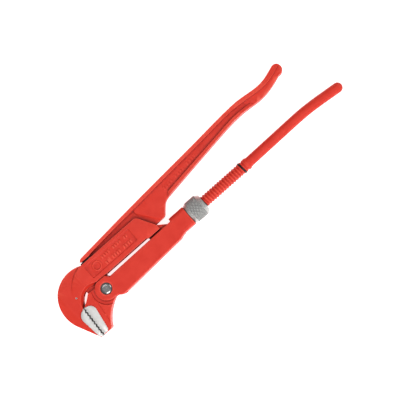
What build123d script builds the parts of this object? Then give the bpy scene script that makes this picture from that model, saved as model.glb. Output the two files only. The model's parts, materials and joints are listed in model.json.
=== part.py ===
"""Swedish-pattern pipe wrench with 90 degree jaws, 1 inch size.

A hook jaw, forged in one piece with its slotted shank, threaded spindle and round handle, slides in a
guide sleeve.  A knurled nut on the spindle bears on the sleeve and sets the jaw opening.  A lever, forged
in one piece with the lower jaw and the I-section handle, passes through the slot of the shank and swings
on a rivet through the sleeve's two cheeks.

While modelling, the origin is on the rivet's axis at mid-thickness, X runs along the spindle towards the
handles, Y towards the lever handle and Z through the thickness.  The last step moves the wrench so that
the origin is at the middle of the bottom of its bounding box, as it lies on its side.
"""

from build123d import *

import math
import os

# ------------------------------------------------------------------ driving dimensions, mm
THROUGH = 80.0  # length of a cut that goes right through

# spindle, its round thread and the round handle behind it
SPINDLE_Y = 0.8
JOURNAL_R = 5.75
JOURNAL_START_X = 76.0
COLLAR_R = 5.64
THREAD_MEAN_R = 5.175
THREAD_HALF_DEPTH = 0.425
THREAD_PITCH = 2.85
THREAD_START_X = 91.0
THREAD_END_X = 164.4
RING_X = 159.5  # where the stop ring faces the front of the wrench
COLLAR_END_X = 165.6
HANDLE_START_X = 168.4
TAPER_STEP = 0.2  # the taper ends this far below the handle's surface
ROD_R = 4.75
ROD_RISE_DEG = 0.9
ROD_BEND_X = 222.0
ROD_BEND_LENGTH = 28.0
ROD_BEND_DEG = 7.1
ROD_END_STRAIGHT = 19.6
ROD_TIP_FLAT_R = 0.8

# hook jaw: half thicknesses, shank and hook
CHEEK_HALF = 8.0
SLOT_HALF = 3.7
HOOK_HALF = 6.6
BACK_SLOPE_DEG = 14.0
TIP_SLOPE_DEG = 20.0
PAD_HALF = 7.5
CHEEK_FADE_X = -13.0
CHEEK_FADE_DEG = 5.2
PANEL_DEPTH = 0.6
PANEL = (-3.0, 49.0, 14.2, 27.2)
PANEL_CORNER_R = 1.0
DIMPLE = (-26.0, 11.2)
DIMPLE_R = 0.9
NECK_HALF = 5.5
SHANK_TOP = 30.2
SHANK_BOTTOM = 10.0
FOOT_BOTTOM = 8.4
FOOT_LEFT_X = 57.0
FOOT_RIGHT_X = 70.0
FOOT_TOP = 12.8
BACK_CENTRE = (-16.5, 4.5)
BACK_R = 28.6
BACK_END_DEG = 206.6
TIP_Y = -29.3
TIP_R = 1.6
SHOULDER_R = 5.0
THROAT_CENTRE = (-12.5, -3.2)
THROAT_R = 13.9
THROAT_BEVEL = 2.7
CREASE_R = 30.9
SLOT_END_R = 31.6
NOSE_SWING_R = 36.2

# toothed faces: a line that leans 3 degrees, with sawteeth on both sides of it
TEETH_TOP = (-27.0, -0.4)
TEETH_LEAN_DEG = 3.0
TOOTH_PITCH = 3.15
TOOTH_DEPTH = 1.05
TOOTH_RISE = 0.55  # share of the pitch from a tip to the bottom of the next gullet
TOOTH_COUNT = 9
JAW_GAP = 0.16

# lever: plate in the shank's slot, flanges and tongue
PLATE_HALF = 3.5
WEB_HALF = 4.7
WEB_SLOPE_DEG = 35.0
WEB_MARK_START = (96.0, 32.9)
WEB_MARK_PITCH = 3.0
WEB_MARK_HIGH = 0.35
WEB_MARK_LEAN_DEG = 5.8
FLANGE_HALF = 6.8
HANDLE_END_HALF = 5.7
HANDLE_FADE_X = 190.0
HANDLE_END_X = 207.0
JAW_HALF = 6.9
JAW_SLOPE_DEG = 22.0
JAW_STEP = 0.7
TONGUE_HALF = 5.6
TONGUE_R = 9.6
TONGUE_STEP_R = 14.4
LEVER_BOTTOM = 13.5
NOSE_NOTCH = (30.0, 32.0)
NOSE_NOTCH_END_X = 6.5

# guide sleeve
SLEEVE_HALF = 9.3
CHANNEL_HALF = 5.9
CHANNEL_FLOOR = -5.3
BOSS_R = 10.5
BOSS_TOP = 9.75
TUBE_START_X = 81.0
TUBE_MID_Y = 0.6
TUBE_WIDTH = 18.8
TUBE_TOP_R = 4.6
TUBE_LOW_R = 2.4
SLEEVE_END_X = 97.0
SLEEVE_BORE_R = 6.0
CHANNEL_END_X = 82.5
SLEEVE_EDGE_R = 1.0

# nut
NUT_START_X = 97.2
NUT_LENGTH = 17.2
NUT_R = 10.5
NUT_BORE_R = 6.2  # clear of the spindle's crests; the nut's own thread is left out
NUT_FRONT_CHAMFER = (3.4, 2.6)
NUT_BACK_CHAMFER = (3.0, 1.5)

# rivet, stop ring, spring
RIVET_R = 5.2
RIVET_CLEARANCE = 0.05
RIVET_CROWN_Z = 10.4
RIVET_FLAT_R = 2.6
RING_WIRE_R = 0.6
RING_SEAT_R = 5.42
RING_TURNS = 0.92
SPRING_HALF = 3.2
SPRING_THICKNESS = 1.15
SPRING_DROP = 0.4  # from the bottom of the nose's notch up to the spring's lower face
SPRING_RIVET_R = 1.0
SPRING_RIVET_X = 2.5
SPRING_RIVET_Y = (30.33, 35.23)


# ------------------------------------------------------------------ helpers
def polar(centre, radius, degrees):
    """The point at that angle on a circle."""
    a = math.radians(degrees)
    return (centre[0] + radius * math.cos(a), centre[1] + radius * math.sin(a))


def plate(face, half):
    """A face in the XY plane, made as thick as half on each side of it."""
    return extrude(face, amount=half, both=True)


def face_of(*edges):
    """The face inside a closed loop of edges."""
    return make_face(Curve() + list(edges))


def box(x0, x1, y0, y1, z0, z1):
    """A box from its lowest to its highest corner."""
    return Pos((x0 + x1) / 2, (y0 + y1) / 2, (z0 + z1) / 2) * Box(x1 - x0, y1 - y0, z1 - z0)


def rectangle(x0, x1, y0, y1):
    """A rectangle face from its lowest to its highest corner."""
    return Pos((x0 + x1) / 2, (y0 + y1) / 2) * Rectangle(x1 - x0, y1 - y0)


def both_faces(shape):
    """A shape and its mirror image on the other side of the mid-plane."""
    return shape + mirror(shape, about=Plane.XY)


def slope_cut(start, end, height, degrees):
    """What lies above a plane through a line at a height, falling away to the line's left, on both sides."""
    along = math.degrees(math.atan2(end[1] - start[1], end[0] - start[0]))
    block = Pos(0, THROUGH / 2, THROUGH / 2) * Box(4 * THROUGH, THROUGH, THROUGH)
    cut = Pos(start[0], start[1], height) * Rot(0, 0, along) * Rot(-degrees, 0, 0) * block
    return both_faces(cut)


def x_cylinder(radius, x0, x1, y=SPINDLE_Y):
    """A cylinder along X."""
    return Pos((x0 + x1) / 2, y, 0) * Rot(0, 90, 0) * Cylinder(radius, x1 - x0)


def thread_phase(x):
    """The angle about the spindle's axis, from Y towards Z, at which a crest crosses that place."""
    return 270.0 + (x - RING_X) / THREAD_PITCH * 360.0


def round_thread(x0, x1):
    """A screw of round section: an off-centre disc that turns once in each pitch along the spindle's axis."""
    length = x1 - x0
    disc = Plane.XY * Pos(THREAD_HALF_DEPTH, 0) * Circle(THREAD_MEAN_R)
    guide = Helix(pitch=THREAD_PITCH, height=length, radius=THREAD_MEAN_R)
    screw = sweep(disc, path=Line((0, 0, 0), (0, 0, length)), binormal=guide)
    lay = Pos(x0, SPINDLE_Y, 0) * Rot(thread_phase(x0), 0, 0) * Rot(0, 90, 0) * Rot(0, 0, 90)
    return lay * screw


def groove_wire(x0, x1, wire_r, helix_r):
    """A round wire that follows the bottom of the thread's groove."""
    path = Helix(pitch=THREAD_PITCH, height=x1 - x0, radius=helix_r)
    section = Plane(path @ 0, x_dir=(1, 0, 0), z_dir=path % 0) * Circle(wire_r)
    wire = sweep(section, path=path, is_frenet=True)
    lay = Pos(x0, SPINDLE_Y, 0) * Rot(thread_phase(x0) + 180.0, 0, 0) * Rot(0, 90, 0) * Rot(0, 0, 90)
    return lay * wire


# ------------------------------------------------------------------ teeth
def tooth_frame():
    """The plane whose X axis runs down the closed jaws' parting line and whose Y axis points to the lever."""
    down = math.radians(-90.0 - TEETH_LEAN_DEG)
    return Plane(origin=(*TEETH_TOP, 0), x_dir=(math.cos(down), math.sin(down), 0), z_dir=(0, 0, 1))


def tooth_row(side, phase, start):
    """The face that a row of teeth keeps free: side is -1 for the hook's row and +1 for the lever's."""
    points = [(start, side * JAW_GAP / 2)]
    for i in range(TOOTH_COUNT + 1):
        tip = (i + phase) * TOOTH_PITCH
        points.append((tip, side * JAW_GAP / 2))
        points.append((tip + TOOTH_RISE * TOOTH_PITCH, side * (JAW_GAP / 2 + TOOTH_DEPTH)))
    points.append((points[-1][0] + 8.0, points[-1][1]))
    points.append((points[-1][0], -side * 12.0))
    points.append((start, -side * 12.0))
    return tooth_frame() * make_face(Polyline(*points, close=True))


# ------------------------------------------------------------------ hook jaw
def hook_outline():
    """The silhouette of the hook and its shank."""
    top_left = (BACK_CENTRE[0] + math.sqrt(BACK_R**2 - (SHANK_TOP - BACK_CENTRE[1]) ** 2), SHANK_TOP)
    back_end = polar(BACK_CENTRE, BACK_R, BACK_END_DEG)
    fall = BACK_END_DEG - 90.0
    tip_left = (back_end[0] + (TIP_Y - back_end[1]) * math.cos(math.radians(fall + 180)) /
                math.sin(math.radians(fall + 180)), TIP_Y)
    throat_low = polar(THROAT_CENTRE, THROAT_R, 157.5)
    throat_end_x = THROAT_CENTRE[0] + math.sqrt(THROAT_R**2 - (SHANK_BOTTOM - THROAT_CENTRE[1]) ** 2)
    throat_end = (throat_end_x, SHANK_BOTTOM)
    silhouette = face_of(
        ThreePointArc(top_left, polar(BACK_CENTRE, BACK_R, 150.0), back_end),
        Polyline(back_end, tip_left, (-26.0, TIP_Y), (-26.0, -1.0), (-27.0, -0.3), throat_low),
        ThreePointArc(throat_low, polar(THROAT_CENTRE, THROAT_R, 100.0), throat_end),
        Polyline(
            throat_end,
            (FOOT_LEFT_X - 1.8, SHANK_BOTTOM),
            (FOOT_LEFT_X, FOOT_BOTTOM),
            (FOOT_RIGHT_X, FOOT_BOTTOM),
            (FOOT_RIGHT_X, FOOT_TOP),
            (60.0, SHANK_TOP),
            top_left,
        ),
    )
    shoulder = silhouette.vertices().sort_by_distance((60.0, SHANK_TOP, 0))[0]
    silhouette = fillet(shoulder, SHOULDER_R)
    tip = silhouette.vertices().sort_by_distance((*tip_left, 0))[0]
    return fillet(tip, TIP_R)


def hook_pad():
    """The raised, ground pad beside the hook's teeth."""
    return face_of(
        Line((-26.0, -0.4), (-27.6, -0.4)),
        ThreePointArc((-27.6, -0.4), (-32.6, -2.6), (-34.7, -7.6)),
        Line((-34.7, -7.6), (-32.7, -26.0)),
        ThreePointArc((-32.7, -26.0), (-32.0, -27.9), (-30.2, -28.6)),
        Polyline((-30.2, -28.6), (-26.0, -28.6), (-26.0, -0.4)),
    )


def shank_slot():
    """The slot between the shank's cheeks, in plan: open above, below and at the handle end."""
    span = rectangle(-40, FOOT_LEFT_X, 0, 50) + rectangle(FOOT_LEFT_X, 90, FOOT_TOP, 50)
    nose_swing = Circle(NOSE_SWING_R) & rectangle(-19.5, 0, 20, 50)
    swing = Circle(SLOT_END_R) + nose_swing + rectangle(-4, 90, 0, 50)
    low = make_face(Polyline((0, 0), polar((0, 0), 45, 157), (-60, 0), (-60, -40), (0, -40), close=True))
    return (span & swing) - low


def mark_blocks():
    """Generic raised blocks and a ring inside the panel on the shank, in plan. They spell nothing."""
    marks = Pos(6.8, 20.6) * (Circle(4.4) - Circle(3.4))
    for row, (y, height) in enumerate([(23.6, 2.4), (17.4, 2.8)]):
        for i in range(12):
            if (i + 2 * row) % 5 == 4:
                continue
            marks += Pos(15.0 + 2.6 * i, y) * Rectangle(1.3, height)
    return marks


def make_hook_jaw():
    """Hook, slotted shank, spindle and round handle: one forging."""
    outline = hook_outline()
    hook = plate(outline, HOOK_HALF)
    cheek_zone = (Circle(CREASE_R) & rectangle(-40, 0, 0.5, 40)) + rectangle(-4, 90, 0.5, 40)
    cheeks = plate(outline & cheek_zone, CHEEK_HALF)
    cheeks -= slope_cut((CHEEK_FADE_X, -40), (CHEEK_FADE_X, 40), CHEEK_HALF, CHEEK_FADE_DEG)
    body = hook + cheeks + plate(hook_pad(), PAD_HALF)
    # outer facets: the back of the hook thins towards its outline
    body -= slope_cut((-36.8, -40), (-36.8, 40), HOOK_HALF, BACK_SLOPE_DEG)
    body -= slope_cut((-33.0, -27.0), (-36.4, -2.0), HOOK_HALF, TIP_SLOPE_DEG)
    # the throat's bevel runs from the faces down to the plain throat circle
    bevel_depth = CHEEK_HALF - SLOT_HALF
    cone = Pos(*THROAT_CENTRE, CHEEK_HALF - bevel_depth / 2) * Cone(
        THROAT_R, THROAT_R + THROAT_BEVEL, bevel_depth
    )
    body -= both_faces(cone & box(-60, 20, 0.6, 60, 0, 20))
    body -= plate(shank_slot(), SLOT_HALF)
    panel = fillet(rectangle(*PANEL).vertices(), PANEL_CORNER_R) - mark_blocks()
    body -= both_faces(Pos(0, 0, CHEEK_HALF - PANEL_DEPTH) * extrude(panel, amount=THROUGH))
    body -= plate(tooth_row(-1, 0.5, -1.2), THROUGH)
    body -= Pos(*DIMPLE, HOOK_HALF + DIMPLE_R / 3) * Rot(90, 0, 0) * Sphere(DIMPLE_R)
    neck = plate(
        make_face(
            Polyline(
                (FOOT_LEFT_X, FOOT_TOP), (FOOT_RIGHT_X, FOOT_TOP), (78.6, SPINDLE_Y + JOURNAL_R),
                (80.0, SPINDLE_Y + JOURNAL_R), (80.0, SPINDLE_Y - JOURNAL_R), (64.0, SPINDLE_Y - JOURNAL_R),
                (FOOT_LEFT_X, 2.0), close=True,
            )
        ),
        NECK_HALF,
    )
    return body + neck + make_spindle()


def make_spindle():
    """Plain journal, round thread, collar and round handle."""
    journal = x_cylinder(JOURNAL_R, JOURNAL_START_X, THREAD_START_X)
    collar = x_cylinder(COLLAR_R, THREAD_END_X, COLLAR_END_X)
    stem = journal + round_thread(THREAD_START_X, THREAD_END_X) + collar
    taper_length = HANDLE_START_X - COLLAR_END_X
    taper = Pos(COLLAR_END_X + taper_length / 2, SPINDLE_Y, 0) * Rot(0, 90, 0) * Cone(
        COLLAR_R, ROD_R - TAPER_STEP, taper_length
    )
    return stem + taper + make_rod()


def rod_path():
    """The handle's centre line: straight, one long arc, straight."""
    start = (COLLAR_END_X, SPINDLE_Y)
    rise = math.radians(ROD_RISE_DEG)
    bend = (ROD_BEND_X, SPINDLE_Y + (ROD_BEND_X - COLLAR_END_X) * math.tan(rise))
    first = Line(start, bend)
    radius = ROD_BEND_LENGTH / math.radians(ROD_BEND_DEG)
    centre = (bend[0] + radius * math.sin(rise), bend[1] - radius * math.cos(rise))
    top = 90.0 + ROD_RISE_DEG
    middle = polar(centre, radius, top - ROD_BEND_DEG / 2)
    end = polar(centre, radius, top - ROD_BEND_DEG)
    second = ThreePointArc(bend, middle, end)
    fall = math.radians(ROD_RISE_DEG - ROD_BEND_DEG)
    tip = (end[0] + ROD_END_STRAIGHT * math.cos(fall), end[1] + ROD_END_STRAIGHT * math.sin(fall))
    return first + second + Line(end, tip)


def make_rod():
    """The round handle with its ball end, which has a small flat at the tip."""
    path = rod_path()
    section = Plane(origin=path @ 0, z_dir=path % 0) * Circle(ROD_R)
    top = math.sqrt(ROD_R**2 - ROD_TIP_FLAT_R**2)
    shoulder = polar((0, 0), ROD_R, 45.0)
    profile = face_of(
        Line((0, 0), (ROD_R, 0)),
        ThreePointArc((ROD_R, 0), shoulder, (ROD_TIP_FLAT_R, top)),
        Polyline((ROD_TIP_FLAT_R, top), (0, top), (0, 0)),
    )
    cap = revolve(Plane.XZ * profile, axis=Axis.Z, revolution_arc=360)
    return sweep(section, path=path) + Plane(origin=path @ 1, z_dir=path % 1) * cap


# ------------------------------------------------------------------ lever
HANDLE_TOP = [(0, 35.2), (50, 39.1), (100, 42.4), (150, 45.5), (190, 47.9)]
HANDLE_TOP_END = [(190, 47.9), (202, 47.2), (213, 45.9), (225, 46.5), (238, 50.5)]
HANDLE_LOW_END = [(238, 40.6), (226, 36.9), (213, 35.1), (201, 35.9), (188, 36.5)]
HANDLE_LOW = [(188, 36.5), (160, 33.8), (130, 29.8), (105, 26.4), (91, 23.9)]


def handle_top():
    """The upper edge of the lever from its nose to the end of the handle."""
    return [
        Spline(*HANDLE_TOP, tangents=[(1, 0.078), (1, 0.02)]),
        Spline(*HANDLE_TOP_END, tangents=[(1, 0.02), (1, 0.32)]),
    ]


def handle_low():
    """The lower edge of the handle, from its end back to the heel above the sleeve."""
    return [
        Spline(*HANDLE_LOW_END, tangents=[(-1, -0.37), (-1, -0.02)]),
        Spline(*HANDLE_LOW, tangents=[(-1, -0.02), (-1, -0.3)]),
    ]


def lever_outline():
    """The silhouette of the lever's plate and handle, down to the tongue."""
    return face_of(
        Polyline((-16.3, 6.0), (-15.8, 10.5), (-12.5, 18.0), (-8.5, 25.0), (-4.6, 29.9), (-0.9, 31.8),
                 (-3.4, 32.9), (-1.2, 34.8), (0, 35.2)),
        *handle_top(),
        ThreePointArc((238, 50.5), (244.6, 46.9), (238, 40.6)),
        *handle_low(),
        Spline((91, 23.9), (85.4, 19.7), (81.0, 14.8), tangents=[(-1, -0.3), (-0.62, -0.8)]),
        Polyline((81.0, 14.8), (79.4, 14.0), (70.0, LEVER_BOTTOM), (11.5, LEVER_BOTTOM), (7.6, 9.6),
                 (6.5, 5.0), (0, 0), (-16.3, 6.0)),
    )


def jaw_outline():
    """The silhouette of the lower jaw, down to the tip."""
    return face_of(
        Polyline((-26.0, 0.2), (-24.9, 1.2)),
        ThreePointArc((-24.9, 1.2), (-19.2, 4.7), (-16.3, 7.2)),
        Polyline((-16.3, 7.2), (0, 7.2), (0, -11.2)),
        ThreePointArc((0, -11.2), (-10.4, -17.7), (-18.4, -27.2)),
        ThreePointArc((-18.4, -27.2), (-19.4, -28.7), (-21.2, -29.0)),
        Polyline((-21.2, -29.0), (-30.0, -29.0), (-30.0, 0.2), (-26.0, 0.2)),
    )


def jaw_pad():
    """The raised, ground pad beside the lower jaw's teeth."""
    return face_of(
        Line((-30.0, -0.5), (-24.8, -0.5)),
        ThreePointArc((-24.8, -0.5), (-20.6, -2.4), (-18.7, -6.6)),
        Line((-18.7, -6.6), (-22.1, -26.6)),
        ThreePointArc((-22.1, -26.6), (-22.9, -28.0), (-24.4, -28.4)),
        Polyline((-24.4, -28.4), (-30.0, -28.4), (-30.0, -0.5)),
    )


def pocket_outline():
    """The handle's long pocket, in plan: between its flanges, open to the plate at the nose end, and running
    out below the upper flange at the handle's end."""
    upper = [(6.0, 31.9), (14.0, 33.2), (60.0, 36.4), (110.0, 39.6), (150.0, 42.1), (190.0, 44.2),
             (205.0, 42.9)]
    crease = [(205.0, 42.9), (220.0, 41.7), (231.0, 43.3), (248.0, 49.6)]
    lower = [(203.0, 38.7), (190.0, 39.4), (160.0, 36.6), (130.0, 32.8), (97.0, 28.6)]
    return face_of(
        Spline(*upper, tangents=[(1, 0.3), (1, -0.1)]),
        Spline(*crease, tangents=[(1, -0.1), (1, 0.4)]),
        Polyline(crease[-1], (260.0, 30.0), (206.0, 30.0), lower[0]),
        Spline(*lower, tangents=[(-1, 0.04), (-1, -0.13)]),
        Polyline(lower[-1], (92.0, 20.0), (92.0, 5.0), (6.0, 5.0), upper[0]),
    )


def above_profile(*points):
    """What lies above a profile along X of the half thickness, on both sides."""
    profile = make_face(Polyline(*points, (points[-1][0], THROUGH), (points[0][0], THROUGH), close=True))
    return both_faces(Pos(0, -THROUGH / 2, 0) * extrude(Plane.XZ * profile, amount=-2 * THROUGH))


def web_zone():
    """The lever's plate behind the hook's shank, in plan, where it is thicker."""
    return make_face(
        Polyline(
            (62.5, 31.0), (73.5, 15.3), (75.5, 5.0), (220.0, 5.0), (220.0, 60.0), (62.5, 60.0), close=True
        )
    )


def web_marks():
    """Generic raised blocks on the handle's web. They spell nothing."""
    block = Box(1.4, 2.6, 2 * (WEB_HALF + WEB_MARK_HIGH))
    line = Pos(*WEB_MARK_START) * Rot(0, 0, WEB_MARK_LEAN_DEG)
    return [line * Pos(WEB_MARK_PITCH * i, 0) * block for i in range(14) if i % 5 != 4]


def make_lever():
    """Lower jaw, tongue, plate, nose and I-section handle: one forging."""
    outline = lever_outline()
    body = plate(outline, PLATE_HALF)
    handle_zone = rectangle(-8, 260, 5, 60) - rectangle(-8, 7.5, 5, NOSE_NOTCH[1])
    handle = plate(outline & handle_zone, FLANGE_HALF)
    fade = (HANDLE_FADE_X, FLANGE_HALF), (HANDLE_END_X, HANDLE_END_HALF), (260.0, HANDLE_END_HALF)
    floor = above_profile((-20.0, PLATE_HALF), (188.0, PLATE_HALF), (HANDLE_END_X, HANDLE_END_HALF), fade[2])
    handle -= plate(pocket_outline(), THROUGH) & floor
    below_crease = plate(pocket_outline() + rectangle(HANDLE_FADE_X, 206, 30, 40.5), THROUGH)
    handle -= below_crease & above_profile(*fade)
    web_slope = slope_cut((75.0, 16.5), (64.5, 31.0), WEB_HALF, WEB_SLOPE_DEG)
    body += plate(outline & web_zone(), WEB_HALF) - web_slope
    body += handle + web_marks()
    jaw = jaw_outline()
    jaw_body = plate(jaw - Circle(TONGUE_STEP_R), JAW_HALF)
    outer_slope = slope_cut((-15.6, -3.0), (-18.2, -26.0), JAW_HALF, JAW_SLOPE_DEG)
    step_slope = slope_cut((-13.9, -3.0), (-16.5, -26.0), JAW_HALF - JAW_STEP, JAW_SLOPE_DEG)
    body += jaw_body - (outer_slope - step_slope)
    body += plate(Circle(TONGUE_R) + (jaw & Circle(TONGUE_STEP_R + 0.5)), TONGUE_HALF)
    body += plate(jaw_pad(), PAD_HALF)
    body -= plate(tooth_row(1, 0.0, -4.0), THROUGH)
    body -= Cylinder(RIVET_R + RIVET_CLEARANCE, THROUGH)
    body -= box(-10, NOSE_NOTCH_END_X, *NOSE_NOTCH, -THROUGH, THROUGH)
    return body - spring_hole()


# ------------------------------------------------------------------ guide sleeve
def sleeve_outline():
    """The silhouette of the sleeve's cheeks, from the boss to the tube."""
    left_low = polar((0, 0), BOSS_R, -84)
    top_left_x = -math.sqrt(BOSS_R**2 - BOSS_TOP**2)
    return face_of(
        ThreePointArc(left_low, (-BOSS_R, 0), (top_left_x, BOSS_TOP)),
        Polyline((top_left_x, BOSS_TOP), (6.2, BOSS_TOP), (8.6, 6.3), (79.6, 7.1), (84.0, 7.1), (84.0, -9.1),
                 (81.6, -9.4), (78.0, -10.7), (9.4, -14.0), (7.0, -13.3), (4.4, -11.1), left_low),
    )


def make_guide_sleeve():
    """Two cheeks on the rivet, joined along the lower side and by the tube that guides the spindle."""
    cheeks = plate(sleeve_outline(), SLEEVE_HALF)
    rims = cheeks.edges().group_by(Axis.Z)[0] + cheeks.edges().group_by(Axis.Z)[-1]
    cheeks = fillet(rims, SLEEVE_EDGE_R)
    section = Plane.YZ * Pos(TUBE_MID_Y, 0) * Rectangle(TUBE_WIDTH, 2 * SLEEVE_HALF)
    tube = Pos(TUBE_START_X, 0, 0) * extrude(section, amount=SLEEVE_END_X - TUBE_START_X)
    long_edges = tube.edges().filter_by(Axis.X)
    tube = fillet(long_edges.group_by(Axis.Y)[-1], TUBE_TOP_R)
    tube = fillet(tube.edges().filter_by(Axis.X).group_by(Axis.Y)[0], TUBE_LOW_R)
    body = cheeks + tube
    channel = rectangle(-30, 12, -30, 30) + rectangle(10, CHANNEL_END_X, CHANNEL_FLOOR, 30)
    body -= plate(channel, CHANNEL_HALF)
    body -= x_cylinder(SLEEVE_BORE_R, CHANNEL_END_X - 0.5, THROUGH + SLEEVE_END_X)
    body -= Cylinder(RIVET_R, THROUGH)
    return body


# ------------------------------------------------------------------ nut, rivet, ring, spring
def make_adjusting_nut():
    """The nut that sets the jaw opening, with a plain bore around the spindle's thread."""
    end = NUT_START_X + NUT_LENGTH
    front_length, front_depth = NUT_FRONT_CHAMFER
    back_length, back_depth = NUT_BACK_CHAMFER
    profile = make_face(
        Polyline(
            (NUT_START_X, NUT_BORE_R),
            (NUT_START_X, NUT_R - back_depth),
            (NUT_START_X + back_length, NUT_R),
            (end - front_length, NUT_R),
            (end, NUT_R - front_depth),
            (end, NUT_BORE_R),
            close=True,
        )
    )
    return Pos(0, SPINDLE_Y, 0) * revolve(profile, axis=Axis.X, revolution_arc=360)


def make_pivot_rivet():
    """Plain pin with crowned, flat-topped heads just proud of the cheeks."""
    crown = RIVET_CROWN_Z - SLEEVE_HALF
    shoulder = (RIVET_R - 0.9, SLEEVE_HALF + 0.64 * crown)
    profile = face_of(
        Polyline((RIVET_R, 0), (RIVET_R, SLEEVE_HALF)),
        ThreePointArc((RIVET_R, SLEEVE_HALF), shoulder, (RIVET_FLAT_R, RIVET_CROWN_Z)),
        Polyline((RIVET_FLAT_R, RIVET_CROWN_Z), (0, RIVET_CROWN_Z), (0, 0), (RIVET_R, 0)),
    )
    return both_faces(revolve(Plane.XZ * profile, axis=Axis.Z, revolution_arc=360))


def make_stop_ring():
    """Wire ring in the thread's groove, which keeps the nut on the spindle."""
    half_lead = RING_TURNS / 2 * THREAD_PITCH
    return groove_wire(RING_X - half_lead, RING_X + half_lead, RING_WIRE_R, RING_SEAT_R)


def spring_hole():
    """The hole for the spring's rivet, through the nose and the spring."""
    return Pos(SPRING_RIVET_X, SPRING_RIVET_Y[1], 0) * Rot(90, 0, 0) * Cylinder(SPRING_RIVET_R, 12.0)


def make_nose_spring():
    """Flat buffer spring under the lever's nose."""
    low = NOSE_NOTCH[0] + SPRING_DROP
    high = low + SPRING_THICKNESS
    strip = face_of(
        ThreePointArc((-4.3, low), (0.8, low + 0.35), (5.9, low)),
        Line((5.9, low), (5.9, high)),
        ThreePointArc((5.9, high), (0.8, high + 0.4), (-4.3, high)),
        Line((-4.3, high), (-4.3, low)),
    )
    spring = plate(strip, SPRING_HALF)
    return spring - spring_hole()


def make_spring_rivet():
    """Small rivet that holds the spring to the nose."""
    low, high = SPRING_RIVET_Y
    return Pos(SPRING_RIVET_X, (low + high) / 2, 0) * Rot(90, 0, 0) * Cylinder(SPRING_RIVET_R, high - low)


# ------------------------------------------------------------------ assembly
def make_all():
    """Every node by name, in the modelling frame."""
    return {
        "hook_jaw": make_hook_jaw(),
        "lever_jaw": make_lever(),
        "guide_sleeve": make_guide_sleeve(),
        "adjusting_nut": make_adjusting_nut(),
        "pivot_rivet": make_pivot_rivet(),
        "nut_stop_ring": make_stop_ring(),
        "nose_spring": make_nose_spring(),
        "spring_rivet": make_spring_rivet(),
    }


def place(parts):
    """The parts moved so that the origin is at the bottom centre of the whole wrench's box."""
    whole = Compound(list(parts.values())).bounding_box()
    shift = Vector(-(whole.min.X + whole.max.X) / 2, -(whole.min.Y + whole.max.Y) / 2, -whole.min.Z)
    return {name: Pos(shift) * part for name, part in parts.items()}, shift


PARTS, SHIFT = place(make_all())
os.makedirs("parts", exist_ok=True)
for node, part in PARTS.items():
    export_step(part, f"parts/{node}.step")
    print(f"{node:14s} solids {len(part.solids())}  volume {part.volume:9.1f} mm3")
print("origin of the modelling frame is at", tuple(round(v, 3) for v in SHIFT))
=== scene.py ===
"""The looks of the 90 degree pipe wrench: rounded forgings, a real knurl, materials, studio and camera.

Places are given from the rivet's axis, in millimetres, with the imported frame's own axes.
"""

import json
import math

import bmesh
import bpy
from mathutils import Matrix, Vector

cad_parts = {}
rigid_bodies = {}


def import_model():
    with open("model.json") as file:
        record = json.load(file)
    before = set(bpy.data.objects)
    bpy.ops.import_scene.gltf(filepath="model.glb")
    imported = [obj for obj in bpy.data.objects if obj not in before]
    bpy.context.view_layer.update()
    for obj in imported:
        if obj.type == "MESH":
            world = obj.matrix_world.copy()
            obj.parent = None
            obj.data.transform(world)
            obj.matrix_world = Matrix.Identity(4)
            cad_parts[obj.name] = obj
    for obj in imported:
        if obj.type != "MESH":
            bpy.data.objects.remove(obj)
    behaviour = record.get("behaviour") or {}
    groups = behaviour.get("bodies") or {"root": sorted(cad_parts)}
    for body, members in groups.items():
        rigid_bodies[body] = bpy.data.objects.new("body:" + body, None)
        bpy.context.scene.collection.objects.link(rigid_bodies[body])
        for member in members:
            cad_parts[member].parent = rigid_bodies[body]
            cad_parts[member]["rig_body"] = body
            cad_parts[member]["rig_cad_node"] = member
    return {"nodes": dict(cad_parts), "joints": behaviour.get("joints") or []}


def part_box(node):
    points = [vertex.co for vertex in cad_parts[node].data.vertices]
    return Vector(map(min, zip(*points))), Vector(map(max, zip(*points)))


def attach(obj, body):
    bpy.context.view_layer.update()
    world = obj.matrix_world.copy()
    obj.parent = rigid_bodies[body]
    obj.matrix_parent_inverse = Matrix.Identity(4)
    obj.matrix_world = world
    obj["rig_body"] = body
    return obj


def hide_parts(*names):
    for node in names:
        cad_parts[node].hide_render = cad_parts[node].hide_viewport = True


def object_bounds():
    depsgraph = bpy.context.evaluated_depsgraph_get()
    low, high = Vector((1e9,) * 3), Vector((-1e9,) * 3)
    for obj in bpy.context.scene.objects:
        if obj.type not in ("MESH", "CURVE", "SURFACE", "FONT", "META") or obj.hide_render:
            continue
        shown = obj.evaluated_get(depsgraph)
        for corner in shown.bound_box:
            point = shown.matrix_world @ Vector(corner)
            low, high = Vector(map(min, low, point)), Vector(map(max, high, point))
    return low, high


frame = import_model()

cad_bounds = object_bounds()

MM = 0.001
JOINTS = {joint["name"]: joint for joint in frame["joints"]}
RIVET = Vector(JOINTS["lever_pivot"]["pos_m"])
SPINDLE = Vector(JOINTS["nut_spin"]["pos_m"])

# camera, set to the photograph's view
FIELD = 0.354  # width of what the camera sees at the wrench, in metres
LENS = 100.0
SENSOR = 36.0
CAMERA_ROLL = 41.56  # degrees from the picture's horizontal up to the spindle
CAMERA_TILT = 4.5  # degrees from square on
TILT_TOWARDS = -35.0  # direction of the tilt in the picture, in degrees from its right
VIEW_CENTRE = Vector((113.0, 4.4, 0.0))  # from the rivet, in mm

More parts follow.
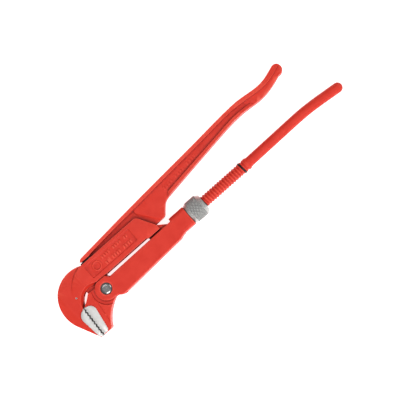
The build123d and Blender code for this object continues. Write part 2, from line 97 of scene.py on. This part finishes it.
# light
FLOOR_GLOW = 0.8  # the floor is a light table, as under a product on white
FLOOR_HALF = 4.0  # metres
FLOOR_DROP = 0.0002  # metres below the wrench
SKY = [(0.0, 0.12), (0.45, 0.3), (0.95, 0.52)]  # how bright the world is, from the horizon up
LIGHTS = (
    # name, place from the view's centre in metres, size in metres, power in watts
    ("key", (-0.35, -0.75, 0.85), 0.7, 9.0),
    ("fill", (0.9, -0.1, 0.9), 0.6, 3.0),
    ("top", (-0.2, 0.5, 1.3), 0.5, 2.2),
)

# forged surfaces
VOXEL = 0.36 * MM
SMOOTHING_STEPS = 5
SMOOTHING_FACTOR = 0.35
KEPT_SHARE = 0.22  # of the remesh's faces


def at(x, y, z=0.0):
    """A place in the frame, from the rivet's axis at mid-thickness, in mm."""
    return RIVET + Vector((x, y, z)) * MM


# ---------------------------------------------------------------- material helpers
# samples of the occlusion that paints shade into corners, creases and gaps
PAINTED_SHADE_SAMPLES = 12


def new_material(name):
    """A node material with only its Principled shader."""
    made = bpy.data.materials.new(name)
    made.use_nodes = True
    return made, made.node_tree, made.node_tree.nodes["Principled BSDF"]


def object_coordinates(tree, scale=(1.0, 1.0, 1.0)):
    """Object coordinates in millimetres, stretched by scale."""
    where = tree.nodes.new("ShaderNodeTexCoord")
    mapping = tree.nodes.new("ShaderNodeMapping")
    mapping.inputs["Scale"].default_value = [s / MM for s in scale]
    tree.links.new(where.outputs["Object"], mapping.inputs["Vector"])
    return mapping.outputs["Vector"]


def noise(tree, vector, scale, detail=3.0, roughness=0.55):
    """The value of a noise texture, with scale in cells per millimetre."""
    node = tree.nodes.new("ShaderNodeTexNoise")
    node.inputs["Scale"].default_value = scale
    node.inputs["Detail"].default_value = detail
    node.inputs["Roughness"].default_value = roughness
    tree.links.new(vector, node.inputs["Vector"])
    return node.outputs["Fac"]


def ramp(tree, factor, stops):
    """A linear colour ramp with (position, colour) stops."""
    node = tree.nodes.new("ShaderNodeValToRGB")
    elements = node.color_ramp.elements
    while len(elements) < len(stops):
        elements.new(0.5)
    for element, (position, colour) in zip(elements, stops):
        element.position = position
        element.color = (*colour, 1.0)
    tree.links.new(factor, node.inputs["Fac"])
    return node.outputs["Color"]


def bump(tree, height, strength, distance_mm, normal=None):
    """A bump of that height."""
    node = tree.nodes.new("ShaderNodeBump")
    node.inputs["Strength"].default_value = strength
    node.inputs["Distance"].default_value = distance_mm * MM
    tree.links.new(height, node.inputs["Height"])
    if normal is not None:
        tree.links.new(normal, node.inputs["Normal"])
    return node.outputs["Normal"]


def mix_colour(tree, factor, first, second):
    """first where factor is 0, second where it is 1."""
    node = tree.nodes.new("ShaderNodeMix")
    node.data_type = "RGBA"
    tree.links.new(factor, node.inputs["Factor"])
    for socket, value in ((node.inputs["A"], first), (node.inputs["B"], second)):
        if isinstance(value, tuple):
            socket.default_value = (*value, 1.0)
        else:
            tree.links.new(value, socket)
    return node.outputs["Result"]


def painted_occlusion_shade(tree, reach_mm, dark, open_at):
    """How far a place is shut in by what lies within reach, 1 in a deep corner and 0 on an open face:
    the mask that paints shade into colours.
    """
    node = tree.nodes.new("ShaderNodeAmbientOcclusion")
    node.samples = PAINTED_SHADE_SAMPLES
    node.inputs["Distance"].default_value = reach_mm * MM
    return ramp(tree, node.outputs["AO"], [(dark, grey(1.0)), (open_at, grey(0.0))])


def grey(value):
    """A grey as a colour."""
    return (value, value, value)


# ---------------------------------------------------------------- materials
def powder_coat():
    """Satin red powder coat: orange peel, faint forging waves, a painted highlight on edges, painted
    shade in hollows and corners.
    """
    made, tree, shader = new_material("red_powder_coat")
    place = object_coordinates(tree)
    waves = noise(tree, place, 0.09, detail=2.0)
    peel = noise(tree, place, 1.1, detail=2.0)
    grain = noise(tree, place, 5.0, detail=3.0)
    tint = ramp(tree, waves, [(0.3, (0.66, 0.033, 0.018)), (0.7, (0.72, 0.043, 0.025))])
    geometry = tree.nodes.new("ShaderNodeNewGeometry")
    # painted highlight: convex edges lightened towards a brighter red
    painted_edge_highlight = ramp(tree, geometry.outputs["Pointiness"], [(0.51, grey(0.0)), (0.55, grey(0.7))])
    colour = mix_colour(tree, painted_edge_highlight, tint, (0.94, 0.12, 0.075))
    # painted shade: hollows darkened towards a deep red
    painted_hollow_shade = ramp(tree, geometry.outputs["Pointiness"], [(0.44, grey(0.85)), (0.49, grey(0.0))])
    colour = mix_colour(tree, painted_hollow_shade, colour, (0.20, 0.005, 0.006))
    # painted shade: corners and creases darkened by occlusion
    colour = mix_colour(tree, painted_occlusion_shade(tree, 3.2, 0.35, 0.86), colour, (0.10, 0.002, 0.004))
    tree.links.new(colour, shader.inputs["Base Color"])
    rough = ramp(tree, grain, [(0.3, grey(0.36)), (0.7, grey(0.46))])
    tree.links.new(rough, shader.inputs["Roughness"])
    normal = bump(tree, waves, 0.35, 0.5)
    normal = bump(tree, peel, 0.22, 0.05, normal)
    tree.links.new(normal, shader.inputs["Normal"])
    shader.inputs["Specular IOR Level"].default_value = 0.22
    return made


def ground_steel():
    """Bare ground steel of the jaws' pads and teeth, with painted shade that turns it black where the
    rows of teeth meet.
    """
    made, tree, shader = new_material("ground_steel")
    lines = noise(tree, object_coordinates(tree, (3.2, 0.12, 3.2)), 1.0, detail=4.0, roughness=0.7)
    blotches = noise(tree, object_coordinates(tree), 0.35)
    colour = ramp(tree, lines, [(0.25, (0.66, 0.645, 0.63)), (0.75, (0.80, 0.785, 0.765))])
    worn = ramp(tree, blotches, [(0.35, grey(0.0)), (0.75, grey(0.35))])
    colour = mix_colour(tree, worn, colour, (0.52, 0.51, 0.49))
    # painted shade: corners and the gap between the rows of teeth darkened to black by occlusion
    colour = mix_colour(tree, painted_occlusion_shade(tree, 3.0, 0.55, 0.84), colour, (0.004, 0.004, 0.004))
    tree.links.new(colour, shader.inputs["Base Color"])
    tree.links.new(ramp(tree, lines, [(0.3, grey(0.34)), (0.7, grey(0.5))]), shader.inputs["Roughness"])
    tree.links.new(bump(tree, lines, 0.25, 0.04), shader.inputs["Normal"])
    shader.inputs["Metallic"].default_value = 0.25
    return made


def galvanised_steel():
    """Dull zinc on the nut, with painted shade in the knurl's valleys and grooves and a painted
    highlight on its crests.
    """
    made, tree, shader = new_material("galvanised_steel")
    place = object_coordinates(tree)
    spangle = noise(tree, place, 0.8, detail=3.0)
    fine = noise(tree, place, 6.0, detail=2.0)
    geometry = tree.nodes.new("ShaderNodeNewGeometry")
    colour = ramp(tree, spangle, [(0.3, (0.36, 0.36, 0.35)), (0.7, (0.62, 0.62, 0.605))])
    # painted shade: the knurl's valleys darkened
    painted_valley_shade = ramp(tree, geometry.outputs["Pointiness"], [(0.44, grey(0.75)), (0.5, grey(0.0))])
    colour = mix_colour(tree, painted_valley_shade, colour, (0.10, 0.10, 0.098))
    # painted highlight: the knurl's crests lightened
    painted_crest_highlight = ramp(tree, geometry.outputs["Pointiness"], [(0.52, grey(0.0)), (0.58, grey(0.7))])
    colour = mix_colour(tree, painted_crest_highlight, colour, (0.86, 0.86, 0.85))
    # painted shade: the knurl's grooves darkened by occlusion
    colour = mix_colour(tree, painted_occlusion_shade(tree, 0.8, 0.45, 0.9), colour, (0.05, 0.05, 0.05))
    tree.links.new(colour, shader.inputs["Base Color"])
    tree.links.new(ramp(tree, fine, [(0.3, grey(0.3)), (0.7, grey(0.46))]), shader.inputs["Roughness"])
    tree.links.new(bump(tree, fine, 0.2, 0.03), shader.inputs["Normal"])
    shader.inputs["Metallic"].default_value = 0.65
    return made


def polished_steel():
    """Bright steel of the rivets, with faint turning marks."""
    made, tree, shader = new_material("polished_steel")
    place = object_coordinates(tree)
    fine = noise(tree, place, 2.5, detail=4.0)
    tree.links.new(ramp(tree, fine, [(0.3, (0.20, 0.20, 0.20)), (0.7, (0.34, 0.335, 0.33))]),
                   shader.inputs["Base Color"])
    tree.links.new(ramp(tree, fine, [(0.3, grey(0.16)), (0.7, grey(0.26))]), shader.inputs["Roughness"])
    tree.links.new(bump(tree, fine, 0.15, 0.03), shader.inputs["Normal"])
    shader.inputs["Metallic"].default_value = 1.0
    return made


def black_spring_steel():
    """Blackened spring steel, oily and satin."""
    made, tree, shader = new_material("black_spring_steel")
    fine = noise(tree, object_coordinates(tree), 1.5, detail=3.0)
    tree.links.new(ramp(tree, fine, [(0.3, (0.012, 0.012, 0.013)), (0.7, (0.035, 0.034, 0.036))]),
                   shader.inputs["Base Color"])
    tree.links.new(ramp(tree, fine, [(0.3, grey(0.28)), (0.7, grey(0.42))]), shader.inputs["Roughness"])
    shader.inputs["Metallic"].default_value = 0.6
    return made


RED = powder_coat()
STEEL = ground_steel()
ZINC = galvanised_steel()
BRIGHT = polished_steel()
BLACK = black_spring_steel()


# ---------------------------------------------------------------- forgings
def forging(node, body, name):
    """A rounded copy of a CAD node: remeshed finely, smoothed and thinned."""
    piece = frame["nodes"][node].copy()
    piece.data = piece.data.copy()
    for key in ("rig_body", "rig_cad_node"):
        if key in piece:
            del piece[key]
    piece.parent = None
    piece.name = name
    bpy.context.scene.collection.objects.link(piece)
    weld = bmesh.new()
    weld.from_mesh(piece.data)
    bmesh.ops.remove_doubles(weld, verts=weld.verts, dist=1e-7)
    weld.to_mesh(piece.data)
    weld.free()
    remesh = piece.modifiers.new("remesh", "REMESH")
    remesh.mode = "VOXEL"
    remesh.voxel_size = VOXEL
    remesh.adaptivity = 0.0
    smooth = piece.modifiers.new("smooth", "LAPLACIANSMOOTH")
    smooth.iterations = SMOOTHING_STEPS
    smooth.lambda_factor = SMOOTHING_FACTOR
    smooth.lambda_border = 0.0
    smooth.use_volume_preserve = True
    thin = piece.modifiers.new("thin", "DECIMATE")
    thin.ratio = KEPT_SHARE
    depsgraph = bpy.context.evaluated_depsgraph_get()
    rounded = bpy.data.meshes.new_from_object(piece.evaluated_get(depsgraph))
    piece.modifiers.clear()
    piece.data = rounded
    for polygon in rounded.polygons:
        polygon.use_smooth = True
    rounded.materials.clear()
    rounded.materials.append(RED)
    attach(piece, body)
    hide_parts(node)
    return piece


hook = forging("hook_jaw", "hook", "hook_forging")
lever = forging("lever_jaw", "lever", "lever_forging")
forging("guide_sleeve", "sleeve", "guide_sleeve_forging")


# ---------------------------------------------------------------- bare steel on the jaws
PAD_LEVEL = 7.18  # half thickness from which a pad's face starts, in mm
PAD_LEFT = -35.2
PAD_FLATNESS = 0.6  # the least that a pad's normal has along Z
JAWS_RIGHT = -17.5
JAWS_TOP = 0.3
TEETH_TOP = Vector((-27.0, -0.4))
TEETH_LEAN = math.radians(3.0)
TEETH_REACH = 1.75  # the teeth lie within this of their parting line
DIMPLE = Vector((-26.0, 11.2))
DIMPLE_R = 0.85


def from_parting_line(place):
    """How far a place lies from the parting line between the rows of teeth, in mm."""
    side = Vector((math.cos(TEETH_LEAN), -math.sin(TEETH_LEAN)))
    return abs((place.xy - TEETH_TOP).dot(side))


def is_bare(place, normal):
    """Is a face there on a raised pad, among the teeth or in the dimple?"""
    if place.z > 0 and (place.xy - DIMPLE).length < DIMPLE_R:
        return True
    if place.x > JAWS_RIGHT or place.y > JAWS_TOP:
        return False
    on_pad = abs(place.z) > PAD_LEVEL and abs(normal.z) > PAD_FLATNESS and place.x > PAD_LEFT
    return on_pad or from_parting_line(place) < TEETH_REACH


def bare_steel(piece):
    """Gives the raised pads, the teeth and the dimple of a jaw the ground steel."""
    piece.data.materials.append(STEEL)
    for polygon in piece.data.polygons:
        if is_bare((polygon.center - RIVET) / MM, polygon.normal):
            polygon.material_index = 1


bare_steel(hook)
bare_steel(lever)


# ---------------------------------------------------------------- nut with its knurl
NUT_STEPS_ROUND = 288
NUT_BORE_R = 6.2
NUT_MOUTH_R = 6.6
KNURL_STARTS = 36
KNURL_RINGS = 84
KNURL_DEPTH = 0.42
KNURL_SLANT = 1.15
KNURL_WIDTH = 0.62  # share of the spacing that a groove takes


def nut_profile():
    """The nut's profile from the bore at the sleeve's end over the rim and back: (x, r, knurled)."""
    low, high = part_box("adjusting_nut")
    start, end = low.x / MM, high.x / MM
    rim = (high.y - low.y) / 2 / MM
    points = [
        (start + 0.6, NUT_BORE_R, 0), (start, NUT_MOUTH_R, 0), (start, rim - 1.6, 0),
        (start + 0.15, rim - 1.42, 0), (start + 2.9, rim - 0.12, 0), (start + 3.1, rim - 0.03, 0),
    ]
    knurl_start, knurl_end = start + 3.3, end - 3.6
    for i in range(KNURL_RINGS + 1):
        points.append((knurl_start + (knurl_end - knurl_start) * i / KNURL_RINGS, rim, 1))
    return points + [
        (end - 3.35, rim - 0.05, 0), (end - 3.15, rim - 0.2, 0), (end - 0.2, rim - 2.46, 0),
        (end, rim - 2.62, 0), (end, NUT_MOUTH_R, 0), (end - 0.6, NUT_BORE_R, 0),
    ]


def knurl(x, angle, radius):
    """Depth of a diamond knurl: two sets of crossing V grooves."""
    lead = 2 * math.pi * radius / KNURL_STARTS * KNURL_SLANT
    first = (angle / (2 * math.pi) * KNURL_STARTS + x / lead) % 1.0
    second = (angle / (2 * math.pi) * KNURL_STARTS - x / lead) % 1.0
    groove = min(abs(first - 0.5), abs(second - 0.5)) * 2
    return KNURL_DEPTH * max(0.0, 1.0 - groove / KNURL_WIDTH)


def make_nut():
    """The nut, revolved with the knurl cut in its rim."""
    shape = bmesh.new()
    rings = []
    for x, radius, knurled in nut_profile():
        ring = []
        for i in range(NUT_STEPS_ROUND):
            angle = 2 * math.pi * i / NUT_STEPS_ROUND
            r = MM * (radius - (knurl(x, angle, radius) if knurled else 0.0))
            place = (x * MM, SPINDLE.y + r * math.cos(angle), SPINDLE.z + r * math.sin(angle))
            ring.append(shape.verts.new(place))
        rings.append(ring)
    for one, two in zip(rings, rings[1:] + rings[:1]):
        for i in range(NUT_STEPS_ROUND):
            j = (i + 1) % NUT_STEPS_ROUND
            shape.faces.new((one[i], one[j], two[j], two[i]))
    bmesh.ops.recalc_face_normals(shape, faces=shape.faces)
    mesh = bpy.data.meshes.new("knurled_nut")
    shape.to_mesh(mesh)
    shape.free()
    for polygon in mesh.polygons:
        polygon.use_smooth = False
    nut = bpy.data.objects.new("knurled_nut", mesh)
    bpy.context.scene.collection.objects.link(nut)
    mesh.materials.append(ZINC)
    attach(nut, "nut")
    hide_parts("adjusting_nut")
    return nut


make_nut()

# ---------------------------------------------------------------- CAD nodes that stay
for node, material in (
    ("pivot_rivet", BRIGHT),
    ("spring_rivet", BRIGHT),
    ("nut_stop_ring", BLACK),
    ("nose_spring", BLACK),
):
    for slot in frame["nodes"][node].material_slots:
        slot.material = material


# ---------------------------------------------------------------- studio
def make_floor():
    """A plain pale floor under the wrench."""
    mesh = bpy.data.meshes.new("floor")
    z = cad_bounds[0].z - FLOOR_DROP
    corners = [(FLOOR_HALF * x, FLOOR_HALF * y, z) for x, y in ((-1, -1), (1, -1), (1, 1), (-1, 1))]
    mesh.from_pydata(corners, [], [(0, 1, 2, 3)])
    floor = bpy.data.objects.new("floor", mesh)
    bpy.context.scene.collection.objects.link(floor)
    made, _, shader = new_material("pale_floor")
    shader.inputs["Base Color"].default_value = (0.9, 0.9, 0.9, 1.0)
    shader.inputs["Roughness"].default_value = 0.9
    shader.inputs["Specular IOR Level"].default_value = 0.1
    shader.inputs["Emission Color"].default_value = (1.0, 1.0, 1.0, 1.0)
    shader.inputs["Emission Strength"].default_value = FLOOR_GLOW
    mesh.materials.append(made)


def area_light(name, place, aim, size, power):
    """A square soft light."""
    data = bpy.data.lights.new(name, "AREA")
    data.shape = "SQUARE"
    data.size = size
    data.energy = power
    lamp = bpy.data.objects.new(name, data)
    lamp.location = place
    lamp.rotation_euler = (aim - place).to_track_quat("-Z", "Y").to_euler()
    bpy.context.scene.collection.objects.link(lamp)


def make_lights():
    """A pale world that is brighter overhead, and three large soft lights."""
    world = bpy.data.worlds.new("studio")
    bpy.context.scene.world = world
    world.use_nodes = True
    tree = world.node_tree
    sky = tree.nodes["Background"]
    where = tree.nodes.new("ShaderNodeTexCoord")
    split = tree.nodes.new("ShaderNodeSeparateXYZ")
    tree.links.new(where.outputs["Generated"], split.inputs["Vector"])
    shade = ramp(tree, split.outputs["Z"], [(height, grey(value)) for height, value in SKY])
    tree.links.new(shade, sky.inputs["Color"])
    sky.inputs["Strength"].default_value = 1.0
    centre = at(*VIEW_CENTRE)
    for name, place, size, power in LIGHTS:
        area_light(name, centre + Vector(place), centre, size, power)


def make_camera():
    """The photograph's view: almost square on, the spindle running up to the right."""
    data = bpy.data.cameras.new("camera")
    data.lens = LENS
    data.sensor_width = SENSOR
    distance = FIELD * LENS / SENSOR
    roll = math.radians(CAMERA_ROLL)
    right = Vector((math.cos(roll), -math.sin(roll), 0.0))
    up = Vector((math.sin(roll), math.cos(roll), 0.0))
    towards = math.radians(TILT_TOWARDS)
    lean = right * math.cos(towards) + up * math.sin(towards)
    tilt = math.radians(CAMERA_TILT)
    back = Vector((0, 0, 1)) * math.cos(tilt) + lean * math.sin(tilt)
    right = (right - back * right.dot(back)).normalized()
    up = back.cross(right)
    turn = Matrix((right, up, back)).transposed()
    camera = bpy.data.objects.new("camera", data)
    camera.matrix_world = Matrix.Translation(at(*VIEW_CENTRE) + back * distance) @ turn.to_4x4()
    bpy.context.scene.collection.objects.link(camera)
    bpy.context.scene.camera = camera


make_floor()
make_lights()
make_camera()
bpy.context.scene.view_settings.view_transform = "Standard"
